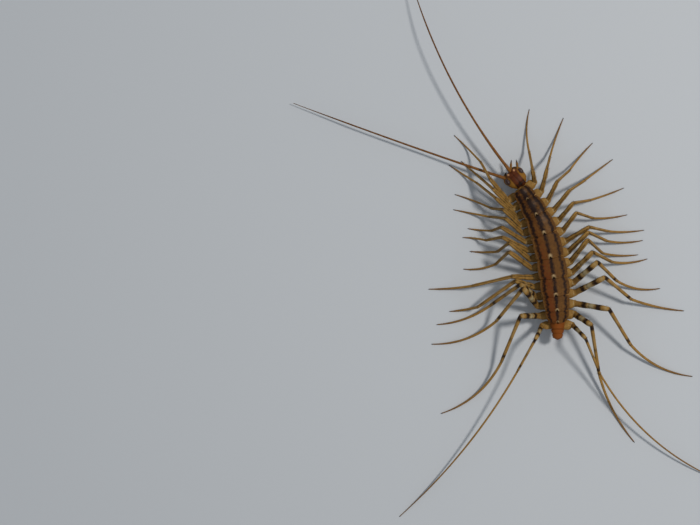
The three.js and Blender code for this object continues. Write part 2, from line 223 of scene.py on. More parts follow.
def spread(values, rows, sides):
    """One number for each ring, or one for each point, as a full grid."""
    values = np.asarray(values, float)
    return np.broadcast_to(values if values.ndim == 2 else values[:, None], (rows, sides))


def tube(points, radii, sides, ridges=0.0, ridge_count=5, wide=1.0, **masks):
    """Ring angle and place along the line: the radius times one plus a cosine for ridges.

    Rings are stretched sideways by wide, and each end closes on a point half a radius out.
    """
    along, side, top = frame_along(points)
    turn = 2 * np.pi * np.arange(sides) / sides
    reach = radii[:, None] * (1 + np.ravel(ridges)[:, None] * np.cos(ridge_count * turn))
    sideways = np.broadcast_to(wide, len(points))[:, None] * np.cos(turn)
    ring = side[:, None] * sideways[..., None] + top[:, None] * np.sin(turn)[:, None]
    skin = points[:, None] + ring * reach[..., None]
    ends = np.stack([points[0] - along[0] * radii[0] * 0.5, points[-1] + along[-1] * radii[-1] * 0.5])
    rows = len(points)
    k = np.arange(sides)
    after = (k + 1) % sides
    last = (rows - 1) * sides
    start = np.stack([np.full(sides, rows * sides), k, after], 1)
    finish = np.stack([np.full(sides, rows * sides + 1), last + after, last + k], 1)
    grids = {mask: spread(values, rows, sides) for mask, values in masks.items()}
    full = {m: np.concatenate([g.ravel(), [g[0].mean(), g[-1].mean()]]) for m, g in grids.items()}
    everything = np.concatenate([skin.reshape(-1, 3), ends])
    everything[:, 2] = np.maximum(everything[:, 2], 0.0)
    return shell(everything, [grid_faces(rows, sides), start, finish], **full)


# %% [markdown]
# ## Bristles and spurs
# The whole animal is set with fine bristles, and each leg has stout spurs at its joints.
# Blender's hair could draw them, but real cones are part of the meshes. Each is a
# three-sided cone, bent once, and all of a group are placed together as one array.

# %% Bristles
rng = np.random.default_rng(15)


def bristles(bases, ways, lengths, radius, dark=0.6, droop=0.25):
    """Cones with three sides: a ring at the base, a thinner ring half way, and a bent tip."""
    bases = np.asarray(bases, float)
    ways = unit(np.asarray(ways, float))
    count = len(bases)
    lengths = np.broadcast_to(lengths, count)[:, None]
    helper = np.where(np.abs(ways[:, 2:]) > 0.9, [1.0, 0, 0], UP)
    side = unit(np.cross(ways, helper))
    top = np.cross(side, ways)
    turn = 2 * np.pi * np.arange(3) / 3
    ring = side[:, None] * np.cos(turn)[:, None] + top[:, None] * np.sin(turn)[:, None]
    sag = np.stack([0 * lengths[:, 0], 0 * lengths[:, 0], -lengths[:, 0] * droop * 0.3], 1)
    low = bases[:, None] - ways[:, None] * 0.03 + ring * radius
    middle = bases[:, None] + ways[:, None] * lengths[:, None] * 0.5 + ring * radius * 0.7
    tip = bases + ways * lengths + sag
    points = np.concatenate([low, middle, tip[:, None]], 1)
    points[..., 2] = np.maximum(points[..., 2], 0.0)
    start = 7 * np.arange(count)[:, None]
    k = np.arange(3)
    n = (k + 1) % 3
    quads = (start[:, None] + np.stack([k, n, n + 3, k + 3], 1)).reshape(-1, 4)
    tips = (start[:, None] + np.stack([k + 3, n + 3, np.full(3, 6)], 1)).reshape(-1, 3)
    floors = start + np.array([2, 1, 0])
    return shell(points, [quads, tips, floors], dark=dark)


# %% [markdown]
# ## What the skin is made of
# Shell, skin and legs are all horn of one kind in different colours: a tan ground, near-black
# pattern, orange where the body is warm, and pale rims. On the left of the back the orange is
# painted shade, and pale spots on the head and the coxae are painted highlights. One function
# builds them. It reads the masks of the mesh, breaks their edges up with noise on Object
# coordinates, speckles the ground, and adds a fine bump, so that no part is one flat colour.

# %% Horn
GRAIN = 5200.0  # noise cells for each metre: about a fifth of a millimetre


def linear(red, green, blue):
    """A colour given as on a screen, 0 to 255, as the linear values that Blender mixes."""
    values = np.array([red, green, blue]) / 255
    return (*np.where(values <= 0.04045, values / 12.92, ((values + 0.055) / 1.055) ** 2.4), 1.0)


def link(tree, source, target):
    """Joins an output of one node to an input of another."""
    tree.links.new(source, target)


def add_node(tree, kind, **settings):
    """A node with its own settings; a setting named after a socket fills that socket."""
    node = tree.nodes.new(kind)
    for key, value in settings.items():
        if key in node.inputs:
            node.inputs[key].default_value = value
        else:
            setattr(node, key, value)
    return node


def mixed(tree, factor, first, second, blend="MIX"):
    """Two colours, or outputs that give colours, blended by a factor."""
    mix = add_node(tree, "ShaderNodeMix", data_type="RGBA", blend_type=blend)
    for socket, value in ((mix.inputs[0], factor), (mix.inputs[6], first), (mix.inputs[7], second)):
        if isinstance(value, bpy.types.NodeSocket):
            link(tree, value, socket)
        else:
            socket.default_value = value
    return mix.outputs[2]


def worked(tree, operation, first, second=0.0, third=0.0):
    """A Math node on numbers or outputs."""
    node = add_node(tree, "ShaderNodeMath", operation=operation)
    for socket, value in zip(node.inputs, (first, second, third)):
        if isinstance(value, bpy.types.NodeSocket):
            link(tree, value, socket)
        else:
            socket.default_value = value
    return node.outputs[0]


def horn(name, ground, fleck, dark, warm, pale, rough=0.65, bump=0.3, ragged=0.5, gloss=0.14, polish=0.35):
    """Ground and fleck mixed by noise, then warm, pale and dark laid on by three of the masks.

    Where the fourth mask, shine, is one, the horn is smoother by polish.
    """
    material = bpy.data.materials.new(name)
    material.use_nodes = True
    tree = material.node_tree
    skin = tree.nodes["Principled BSDF"]
    place = add_node(tree, "ShaderNodeTexCoord").outputs["Object"]
    fine = add_node(tree, "ShaderNodeTexNoise", Scale=GRAIN, Detail=4.0, Roughness=0.6)
    blotch = add_node(tree, "ShaderNodeTexNoise", Scale=GRAIN / 2.2, Detail=3.0, Roughness=0.6)
    broad = add_node(tree, "ShaderNodeTexNoise", Scale=GRAIN / 6, Detail=3.0, Roughness=0.6)
    for noise in (fine, blotch, broad):
        link(tree, place, noise.inputs["Vector"])
    flecked = worked(tree, "MULTIPLY_ADD", fine.outputs["Fac"], 2.2, -0.6)
    clouded = worked(tree, "MULTIPLY_ADD", broad.outputs["Fac"], 1.8, -0.4)
    both = worked(tree, "MULTIPLY", worked(tree, "ADD", flecked, clouded), 0.5)
    colour = mixed(tree, both, linear(*ground), linear(*fleck))
    rough_edge = worked(tree, "ADD", fine.outputs["Fac"], blotch.outputs["Fac"])
    uneven = worked(tree, "MULTIPLY_ADD", rough_edge, ragged, -ragged)
    sheen = worked(tree, "MULTIPLY_ADD", fine.outputs["Fac"], 0.3, rough - 0.15)
    for mask, shade in (("warm", warm), ("pale", pale), ("dark", dark)):
        value = add_node(tree, "ShaderNodeAttribute", attribute_name=mask).outputs["Fac"]
        broken = worked(tree, "MULTIPLY_ADD", uneven, worked(tree, "MINIMUM", value, 0.6), value)
        amount = add_node(tree, "ShaderNodeMapRange", interpolation_type="SMOOTHSTEP")
        link(tree, broken, amount.inputs["Value"])
        colour = mixed(tree, amount.outputs[0], colour, linear(*shade))
    link(tree, colour, skin.inputs["Base Color"])
    shine = add_node(tree, "ShaderNodeAttribute", attribute_name="shine").outputs["Fac"]
    smoother = worked(tree, "MULTIPLY_ADD", shine, -polish, sheen)
    link(tree, smoother, skin.inputs["Roughness"])
    skin.inputs["Specular IOR Level"].default_value = gloss
    relief = add_node(tree, "ShaderNodeBump", Strength=bump, Distance=0.00006)
    link(tree, fine.outputs["Fac"], relief.inputs["Height"])
    link(tree, relief.outputs["Normal"], skin.inputs["Normal"])
    return material


GOLD = (172, 132, 70)
BLACK_BROWN = (34, 20, 12)
# back_horn's warm colour gives only the painted shade on the left half of the plates
back_horn = horn(
    "back_horn", (108, 70, 22), (70, 42, 14), (30, 14, 8), (98, 48, 14), (172, 146, 106), ragged=3.0)
flank_skin = horn(
    "flank_skin", (168, 124, 62), (122, 84, 36), (64, 36, 16), (120, 76, 30), (190, 154, 104), 0.7)
# head_horn's pale colour gives only the painted highlights near the antenna bases
head_horn = horn("head_horn", (98, 46, 16), (60, 27, 10), (26, 13, 8), (134, 92, 32), (214, 160, 112), 0.55)
# leg_horn's pale colour serves the pale bands of the legs and the painted highlights at the coxa ends
leg_horn = horn("leg_horn", GOLD, (108, 78, 32), BLACK_BROWN, (104, 72, 38), (160, 144, 108), ragged=1.4)
feeler_horn = horn("feeler_horn", (124, 84, 38), (88, 54, 25), (52, 32, 18), (132, 84, 36), (160, 122, 76))
tail_skin = horn("tail_skin", (122, 66, 20), (92, 46, 14), (58, 30, 12), (128, 68, 18), (176, 122, 70))
print(len(bpy.data.materials), "materials")

# %% [markdown]
# ## The back plates
# Eight arched shields cover the back, like roof tiles. Each slips a little over the next, and
# its rear edge is notched in the middle, where the breathing slit opens between pale lips. A grid
# of across and along gives the top and the underside together, so the plate is a closed
# shield with a rolled rim. Three dark stripes run down the back: that pattern is worked out
# from the same two parameters, so it follows every plate.

# %% Back plates
CORE_HALF_WIDTH = [[-13, 1.0], [-11, 1.45], [-7, 1.8], [2, 1.8], [11.5, 1.2]]
CORE_HALF_HEIGHT = [[-13, 0.9], [-9, 1.3], [2, 1.35], [11.5, 1.05]]
CORE_HEIGHT = [[-13, 4.0], [-4, 4.0], [6, 3.95], [11.5, 3.75]]
PLATE_HALF_WIDTH = [[-12.4, 1.6], [-10.4, 2.2], [-6.5, 2.55], [2, 2.45], [7, 2.15], [11.3, 1.6]]
PLATE_EDGES = [11.3, 9.2, 6.2, 2.8, -1.4, -4.8, -7.8, -10.3, -12.2]
PLATE_ARCH = 0.62
PLATE_SHELL = 0.22
OVERLAP = 0.32
CLEARANCE = 0.8  # from the soft back to the top of a plate


def bump_at(x, centre, width):
    """A bell: one at the centre, falling away as exp(-d^2)."""
    return np.exp(-(((x - centre) / width) ** 2))


def back_pattern(across, forward):
    """Dark: three stripes. Warm: painted shade on the left half, stronger to the rear. Pale: the rims. Shine:
    the front plates.
    """
    shape = np.broadcast_shapes(np.shape(across), np.shape(forward))
    sideways = np.abs(across)
    front = np.clip((forward - 1.5) / 6, 0, 1)
    rear = np.clip((4 - forward) / 9, 0, 1)
    middle = bump_at(across, 0, 0.14 + 0.07 * front)
    wander = 0.03 * np.sin(forward * 4.3) + 0.025 * np.sin(forward * 9.7)
    lateral = bump_at(sideways, 0.69 + wander, 0.12 + 0.03 * front)
    dark = np.maximum(1.05 * middle, 0.95 * lateral) + 0.36 * front * (sideways < 0.74)
    # painted shade: the left half, the side away from the lamp, is tinted redder and darker, more so towards
    # the rear
    left = 1 / (1 + np.exp(9 * across))
    warm = left * (0.34 + 0.42 * rear) * (sideways < 0.8)
    pale = 0.25 * np.clip((sideways - 0.93) / 0.05, 0, 1)
    shine = front * bump_at(sideways, 0.4, 0.25)
    return [np.broadcast_to(m, shape) for m in (dark, warm, pale, shine)]


def plate_mesh(index, columns=56, rows=36):
    """Across runs -1 to 1 and along 0 to 1; the roof is an arch with a keel, a lip and a notch."""
    front = PLATE_EDGES[index - 1] - 0.1
    rear = PLATE_EDGES[index] + 0.1 - OVERLAP
    along = np.linspace(0, 1, rows)[:, None]
    across = np.sin(np.linspace(-np.pi / 2, np.pi / 2, columns))[None]
    corner = 0.2 * along**6 + 0.22 * (1 - along) ** 5
    half_width = eased(PLATE_HALF_WIDTH, front + (rear - front) * along) - corner
    slit = bump_at(across, 0, 0.09)
    forward = front + (rear + 0.45 * slit * along**6 + 0.3 * across**2 * along**2 - front) * along
    body_at = np.clip(forward, PLATE_EDGES[-1], PLATE_EDGES[0])
    roof = eased(CORE_HEIGHT, body_at) + eased(CORE_HALF_HEIGHT, body_at) + CLEARANCE
    arch = PLATE_ARCH * np.abs(across) ** 2.4
    keel = 0.16 * bump_at(across, 0, 0.2) * along**2 + 0.07 * slit * bump_at(along, 0.9, 0.08)
    rim = 0.1 * bump_at(np.abs(across), 0.95, 0.05) + 0.05 * bump_at(along, 0.97, 0.03)
    lip = 0.11 * along**3 - 0.08 * (1 - along) ** 2
    folds = 0.03 * np.sin(along * 9 + across**2 * 4) * (1 - across**2)
    height = roof - arch + keel + rim + lip + folds
    top = beside(forward, half_width * across, height)
    under = beside(forward, half_width * across * 0.985, height - PLATE_SHELL)
    skin = np.concatenate([top, under[:, ::-1]], 1)
    dark, warm, pale, shine = back_pattern(across + 0 * along, forward)
    lips = bump_at(across, 0, 0.13) * np.clip((along - 0.76) / 0.08, 0, 1)
    pale = np.maximum(pale, lips)
    dark = dark * (1 - 0.95 * lips) + 0.8 * bump_at(across, 0, 0.02) * (along > 0.88)
    count = 2 * columns
    k = np.arange(columns - 1)
    front_face = np.stack([k, k + 1, count - 2 - k, count - 1 - k], 1)
    rear_face = (rows - 1) * count + front_face[:, ::-1]
    both = {m: np.concatenate([v, v[:, ::-1]], 1) for m, v in zip(MASKS, (dark, warm, pale, shine))}
    faces = [grid_faces(rows, count)[:, ::-1], front_face[:, ::-1], rear_face[:, ::-1]]
    return shell(skin, faces, **both), top


def plate_bristles(top, count):
    """Short bristles at random points of a plate's top, leaning back."""
    rows, columns = top.shape[:2]
    r = rng.integers(3, rows - 1, count)
    c = rng.integers(1, columns - 1, count)
    backwards = top[np.minimum(r + 1, rows - 1), c] - top[r - 1, c]
    ways = unit(backwards) * 0.8 + UP * 0.45 + rng.normal(0, 0.12, (count, 3))
    return bristles(top[r, c], ways, rng.uniform(0.12, 0.26, count), 0.014, dark=0.8)


spinules = []
for index in range(1, len(PLATE_EDGES)):
    mesh, top = plate_mesh(index)
    add_piece(f"plate_{index}", mesh, back_horn, "back_plate", f"back_plate_{index}")
    spinules.append(plate_bristles(top, 110))
add_piece("plate_bristles", joined(spinules), back_horn, "back_plate")

# %% [markdown]
# ## The flanks and belly
# Under the plates the body is soft: a swelling over each hip, creases between, and a row of
# belly plates. It is one grid round the body and along it, and waves with the pitch of the
# legs push it in and out.

# %% Trunk
FIRST_LEG = 0.73 * HALF
LEG_PITCH = 1.68
LEG_PAIRS = 15


def trunk_mesh(rows=240, columns=56):
    """Turn and place along: a rounded box section, wider at each hip and creased between."""
    forward = np.linspace(11.45, -12.6, rows)[:, None]
    turn = 2 * np.pi * np.arange(columns)[None] / columns
    wave = np.cos(2 * np.pi * (forward - FIRST_LEG) / LEG_PITCH)
    crease = (0.5 - 0.5 * wave) ** 3
    sine, cosine = np.sin(turn), np.cos(turn)
    flank = np.abs(cosine) ** 2
    belly = np.clip(-sine, 0, 1) ** 2
    ends = np.clip((11.6 - forward) / 0.7, 0, 1) ** 0.5 * np.clip((forward + 12.9) / 0.5, 0, 1) ** 0.5
    skirt = 0.36 * bump_at(sine, -0.35, 0.4)  # soft skin between the coxae
    swell = 1 + flank * (0.08 + 0.1 * wave + skirt) - belly * 0.09 * crease
    wide = eased(CORE_HALF_WIDTH, forward) * ends * swell
    high = eased(CORE_HALF_HEIGHT, forward) * ends * (1 - belly * 0.07 * crease)
    across = np.sign(cosine) * np.abs(cosine) ** 0.8
    rise = np.sign(sine) * np.abs(sine) ** 0.8
    skin = beside(forward + 0 * turn, wide * across, eased(CORE_HEIGHT, forward) + high * rise)
    dark = 0.4 * crease * (flank + belly) + 0.35 * bump_at(np.abs(across), 0.55, 0.15) * (rise < 0)
    warm = 0.15 + 0.35 * np.clip(-forward / 10, 0, 1) + 0 * turn
    pale = 0.45 * wave.clip(0, 1) * flank
    faces = grid_faces(rows, columns)
    k = np.arange(columns)
    middle = beside(np.array([11.5, -12.65]), np.zeros(2), np.array([3.75, 4.0]))
    front_cap = np.stack([np.full(columns, rows * columns), (k + 1) % columns, k], 1)
    last = (rows - 1) * columns
    rear_cap = np.stack([np.full(columns, rows * columns + 1), last + k, last + (k + 1) % columns], 1)
    masks = {m: np.concatenate([np.ravel(v), [0.5, 0.5]]) for m, v in
             (("dark", dark), ("warm", warm), ("pale", pale))}
    return shell(np.concatenate([skin.reshape(-1, 3), middle]),
                 [faces[:, ::-1], front_cap[:, ::-1], rear_cap[:, ::-1]], **masks)


add_piece("trunk", trunk_mesh(), flank_skin, "flank", "trunk_front", "trunk_middle", "trunk_rear")

# %% [markdown]
# ## The tail
# Behind the last plate two narrow segments taper to a blunt orange end. They are one tube whose
# radius dips between the segments.

# %% Tail
TAIL_PROFILE = [[-14.8, 0.8], [-14.2, 0.9], [-13.4, 1.08], [-12.3, 1.22]]
tail_forward = np.linspace(-12.2, -14.75, 60)
tail_radius = eased(TAIL_PROFILE, tail_forward)
tail_radius = tail_radius * (1 - 0.1 * bump_at(tail_forward, -13.35, 0.07)) * (
    1 - 0.12 * bump_at(tail_forward, -14.1, 0.07))
tail_line = beside(tail_forward, np.zeros(60), 4.15 + 0 * tail_forward)
tail = tube(tail_line, tail_radius, 32, 0.03, 2, dark=0.5 * bump_at(tail_forward, -13.35, 0.1),
            warm=0.6 + 0 * tail_forward)
add_piece("tail_end", tail, tail_skin, "tail", "tail")

# %% [markdown]
# ## The head
# The head is a rounded capsule, broadest at the eyes, with a shallow groove down the middle and
# a brow that rolls over the mouth. It starts as an ellipsoid, and bells in its own angles
# press the grooves and sockets into it.

# %% Head
HEAD_HALF = np.array([1.72, 1.78, 1.2])  # ahead, across, up


def head_mesh(rows=72, columns=96):
    """Polar angle from the front and turn round the axis: an ellipsoid, pressed and raised."""
    polar = np.linspace(0.0, np.pi, rows)[:, None]
    turn = 2 * np.pi * np.arange(columns)[None] / columns
    ahead = np.cos(polar) + 0 * turn
    across = np.sin(polar) * np.cos(turn)
    up = np.sin(polar) * np.sin(turn)
    size = np.ones_like(ahead)
    size -= 0.05 * bump_at(across, 0, 0.06) * (up > 0) * bump_at(ahead, 0.1, 0.7)
    size -= 0.05 * bump_at(ahead, 0.55 - 0.3 * np.abs(across), 0.06) * (up > 0)
    size += 0.06 * bump_at(ahead, 0.85, 0.12) * bump_at(np.abs(across), 0.4, 0.2)
    size -= 0.15 * bump_at(np.abs(across), 0.86, 0.2) * bump_at(ahead, 0.28, 0.3) * (up > -0.4)
    size -= 0.05 * bump_at(ahead, -0.6, 0.06)
    points = from_head(HEAD_HALF[0] * ahead * size, HEAD_HALF[1] * across * size,
                       HEAD_HALF[2] * up * size * np.where(up > 0, 1 - 0.12 * ahead.clip(0, 1), 1))
    dark = 0.75 * bump_at(ahead, -0.65, 0.22) * bump_at(across, 0.0, 0.6) * (up > 0)
    dark = dark + 0.45 * bump_at(across, 0.0, 0.1) * (up > 0)
    dark = dark + 0.4 * bump_at(np.abs(across), 0.42, 0.06) * (up > 0.2)
    warm = np.clip((np.abs(across) - 0.42) / 0.15, 0, 1) * np.clip(1.1 - ahead, 0, 1)
    # painted highlights: two pale spots on top, near the antenna bases, stand for glints of the lamp
    pale = 0.9 * bump_at(ahead, 0.78, 0.1) * bump_at(np.abs(across), 0.35, 0.1) * (up > 0)
    masks = {m: np.ravel(v) for m, v in (("dark", dark), ("warm", warm), ("pale", pale))}
    return shell(points, [grid_faces(rows, columns)], **masks)


add_piece("head_shell", head_mesh(), head_horn, "head", "head")

# %% [markdown]
# ## The eyes
# A house centipede has faceted eyes, which few of its kin have. Each is a dark bead under a coat
# of small domes, spread by the golden angle, so that no row shows a seam.

# %% Eyes
EYE_HALF = np.array([0.58, 0.42, 0.5])  # ahead, across, up
FACETS = 170


def eye_mesh(side):
    """A bead, and on it six-sided domes at golden-angle places, each raised at its middle."""
    polar = np.linspace(0, np.pi, 24)[:, None]
    turn = 2 * np.pi * np.arange(32)[None] / 32
    ball = (np.cos(polar), np.sin(polar) * np.cos(turn), np.sin(polar) * np.sin(turn))
    ball = np.stack(np.broadcast_arrays(*ball), -1)
    i = np.arange(FACETS) + 0.5
    level = 1 - 2 * i / FACETS
    angle = np.pi * (1 + 5**0.5) * i
    ring = np.sqrt(1 - level**2)
    normal = np.stack([ring * np.cos(angle), ring * np.sin(angle), level], 1)
    helper = np.where(np.abs(normal[:, 2:]) > 0.9, [1.0, 0, 0], UP)
    first = unit(np.cross(normal, helper))
    second = np.cross(normal, first)
    around = 2 * np.pi * np.arange(6) / 6
    rim = first[:, None] * np.cos(around)[:, None] + second[:, None] * np.sin(around)[:, None]
    low = normal[:, None] + rim * 0.13 - normal[:, None] * 0.02
    mid = normal[:, None] * 1.035 + rim * 0.075
    dome = np.concatenate([low, mid, normal[:, None] * 1.055], 1)
    k = np.arange(6)
    n = (k + 1) % 6
    start = 13 * np.arange(FACETS)[:, None, None]
    quads = (start + np.stack([k, n, n + 6, k + 6], 1)).reshape(-1, 4)
    tips = (start + np.stack([k + 6, n + 6, np.full(6, 12)], 1)).reshape(-1, 3)

    def placed(unit_points):
        """Points on a unit ball, stretched to the size of the eye and put in its place."""
        scaled = unit_points.reshape(-1, 3) * EYE_HALF
        ahead, across, up = EYE_PLACE
        return from_head(ahead + scaled[:, 0], side * (across + scaled[:, 1]), up + scaled[:, 2])

    ball_faces = grid_faces(24, 32)
    if side < 0:
        ball_faces, quads, tips = ball_faces[:, ::-1], quads[:, ::-1], tips[:, ::-1]
    return joined([shell(placed(ball), [ball_faces]), shell(placed(dome), [quads, tips], pale=0.3)])


eye_horn = horn(
    "eye_horn", (30, 15, 10), (52, 24, 15), (14, 8, 8), (70, 30, 16), (84, 42, 28), 0.3, 0.05, gloss=0.5)
for side, which in ((1, "right"), (-1, "left")):
    add_piece(f"{which}_eye", eye_mesh(side), eye_horn, "eye", f"eye_{which}")

# %% [markdown]
# ## Legs
# Each leg has a broad coxa, a thick two-part thigh, a slender shin and a long foot of many
# rings that lies along the floor. Its pose is a few headings and lengths, the same as the
# solids have. The line is worked out as one array, softened at the joints, and the tube's
# radius swells at each part and dips at each ring of the foot.

# %% Poses
POSE_RIGHT = [
    [85, 1.9, 80, 3.3, 72, 7.1, 0.4],
    [60, 3.7, 54, 2.2, 53, 7.0, 0.1],
    [48, 3.4, 23, 3.1, 32, 6.0, 0.1],
    [35, 4.0, 15, 3.4, 19, 5.9, 0],
    [34, 3.6, -8, 3.1, 2, 6.1, -0.1],
    [37, 3.6, -34, 3.2, -12, 5.8, -0.2],
    [14, 4.4, -29, 3.5, -16, 6.1, -0.2],
    [28, 4.5, -41, 3.7, -17, 6.1, -0.3],
    [37, 4.6, -57, 3.7, -20, 6.0, -0.25],
    [29, 4.7, -43, 4.0, -13, 6.0, -0.35],
    [25, 5.2, -60, 4.8, -28, 7.5, -0.7],
    [11, 5.6, -56, 6.1, -30, 9.2, -0.3],
    [-27, 5.8, -75, 7.2, -45, 11.9, -1.1],
    [-52, 3.3, -97, 8.5, -80, 13.1, -0.7],
    [-66, 3.0, -84, 6.7, -58, 29.0, -2.5],
]
POSE_LEFT = [
    [67, 4.9, 80, 3.3, 64, 6.2, 0.1],
    [61, 4.9, 61, 3.7, 60, 3.2, 0],
    [58, 4.9, 58, 4.1, 51, 5.4, 0],
    [59, 4.0, 25, 1.9, 39, 6.4, 0.15],
    [57, 4.0, 25, 2.7, 29, 5.9, 0],
    [48, 4.9, -4, 1.6, 23, 3.8, -0.05],
    [44, 5.0, 6, 2.6, 25, 3.8, 0.1],
    [55, 4.6, -22, 2.4, 18, 4.4, -0.1],
    [52, 4.9, -28, 2.9, 8, 5.3, -0.35],
    [20, 3.7, 4, 6.8, 13, 7.2, -0.15],
    [35, 3.5, -18, 7.7, 8, 4.6, -0.1],
    [54, 3.5, -19, 5.9, -3, 9.6, -0.7],
    [66, 4.1, -35, 7.0, -3, 11.5, -1.1],
    [18, 3.3, -51, 8.4, -24, 13.4, -1.4],
    [-43, 2.6, -44, 6.0, -34, 32.0, -1.3],
]
LIFT_RIGHT = {
    8: [0.35, 0.1], 9: [0.8, 0.0], 10: [0.3, 0.0], 13: [-0.8, 0.0], 14: [-0.6, -0.6], 15: [0.4, 1.6],
}
LIFT_LEFT = {
    1: [0.0, 1.3], 2: [0.3, 0.0], 3: [0.6, 0.0], 4: [0.4, 0.0], 5: [0.2, 0.0], 8: [1.0, 0.3], 9: [0.8, 0.0],
    10: [-1.2, 0.0], 11: [-0.6, 0.0], 12: [0.9, -0.5], 13: [1.7, 0.5], 14: [-0.6, 0.0], 15: [-0.6, 2.2],
}
HIP_HEIGHT = 3.35
KNEE_HEIGHT_FRONT, KNEE_RISE = 5.6, 0.16
ANKLE_HEIGHT_FRONT, ANKLE_RISE = 2.1, 0.07
COXA = 1.2
COXA_RADII = [[0, 0.46], [0.38, 0.56], [0.62, 0.58], [0.85, 0.5], [1, 0.44]]
COXA_WIDE = {1: 0.88, -1: 0.75}  # half its width along the body, by side: neighbours almost touch
THIGH_RADII = [
    [0, 0.46], [0.05, 0.41], [0.25, 0.46], [0.4, 0.42], [0.44, 0.34], [0.5, 0.39], [0.75, 0.42],
    [0.95, 0.37], [1, 0.32],
]
SHIN_RADII = [[0, 0.28], [0.08, 0.29], [0.5, 0.25], [0.93, 0.25], [1, 0.2]]
FOOT_RADII = [[0, 0.21], [0.3, 0.19], [0.7, 0.15], [1, 0.08]]
STOUTNESS = [[1, 0.86], [6, 0.92], [8, 1], [12, 1.15], [14, 1.15], [15, 0.85]]  # pair, share
RING_LENGTH = 0.36  # of a foot
print(LEG_PAIRS, "pairs of legs")

# %% [markdown]
# The line of one leg: plan places from the headings, heights from the arch of the thigh, the
# straight fall of the shin and the settling of the foot.

# %% One leg's line


def plan_way(side, heading):
    """A level unit vector, its heading in degrees forward of straight out to the side."""
    angle = math.radians(heading)
    return at(math.sin(angle), side * math.cos(angle), 0.0)


def softened(points, span):
    """A line whose corners are rounded: each point becomes the mean of its near neighbours."""
    weights = np.hanning(2 * span + 3)[1:-1]
    weights /= weights.sum()
    padded = np.concatenate([np.repeat(points[:1], span, 0), points, np.repeat(points[-1:], span, 0)])
    soft = np.stack([np.convolve(padded[:, axis], weights, "valid") for axis in range(3)], 1)
    soft[:2], soft[-2:] = points[:2], points[-2:]
    return soft


def leg_line(side, pair, pose, lift):
    """Points, radii, widths and a place: below 0 in the coxa, 0-1 thigh, 1-2 shin, 2-3 foot."""
    thigh_heading, thigh, shin_heading, shin, foot_heading, foot, bow = pose
    forward = FIRST_LEG - LEG_PITCH * (pair - 1)
    reach = float(eased(CORE_HALF_WIDTH, forward)) + 0.36
    knee_height = KNEE_HEIGHT_FRONT + KNEE_RISE * (pair - 1) + lift[0]
    ankle_height = ANKLE_HEIGHT_FRONT + ANKLE_RISE * (pair - 1) + lift[1]
    drop = 1.15 if pair == LEG_PAIRS else 2.2
    inner = beside(forward, side * (reach - 0.75), HIP_HEIGHT)
    hip = beside(forward, side * (reach + COXA), HIP_HEIGHT)
    knee = hip + plan_way(side, thigh_heading) * thigh
    ankle = knee + plan_way(side, shin_heading) * shin
    counts = (22, 44, int(10 * shin), max(70, int(foot / RING_LENGTH * 6)))
    coxa_t, thigh_t, shin_t, foot_t = (np.linspace(0, 1, n, endpoint=n == counts[3])[:, None] for n in counts)
    coxa_line = inner + (hip - inner) * coxa_t
    thigh_line = hip + (knee - hip) * thigh_t
    thigh_line[:, 2] = HIP_HEIGHT + (knee_height - HIP_HEIGHT) * np.sin(thigh_t[:, 0] * np.pi / 2) ** 1.3
    shin_line = knee + (ankle - knee) * shin_t
    shin_line[:, 2] = knee_height + (ankle_height - knee_height) * shin_t[:, 0]
    foot_line = ankle + plan_way(side, foot_heading) * foot * foot_t
    foot_line = foot_line + plan_way(side, foot_heading + 90) * 4 * bow * foot_t * (1 - foot_t)
    foot_line[:, 2] = ankle_height * (1 - foot_t[:, 0]) ** drop
    points = softened(np.concatenate([coxa_line, thigh_line, shin_line, foot_line]), 3)
    places = np.concatenate([coxa_t - 1, thigh_t, shin_t + 1, foot_t + 2])[:, 0]
    rings = 1 + 0.07 * np.cos(2 * np.pi * foot_t[:, 0] * foot / RING_LENGTH)
    stout = float(eased(STOUTNESS, pair))
    radii = stout * np.concatenate([
        eased(COXA_RADII, coxa_t[:, 0]), eased(THIGH_RADII, thigh_t[:, 0]),
        eased(SHIN_RADII, shin_t[:, 0]), eased(FOOT_RADII, foot_t[:, 0]) * rings])
    broad = max(COXA_WIDE[side] / (0.6 * stout), 1.0)
    wide = eased(
        [[-0.95, 1.0], [-0.8, broad], [-0.25, broad], [-0.05, 0.6 * broad + 0.4], [0.2, 1.0]], places)
    points[:, 2] = np.maximum(points[:, 2], radii * 1.02)
    return points, radii, wide, places


# %% [markdown]
# The pattern of a leg. The coxae and the front legs are plain gold with darker keels. From about
# the tenth pair back, black-brown bands with pale ones between them cross the thigh and end the
# shin. A painted highlight, pale on the top side only, stands at the end of each coxa, and all
# feet redden towards the tip.

# %% Leg pattern


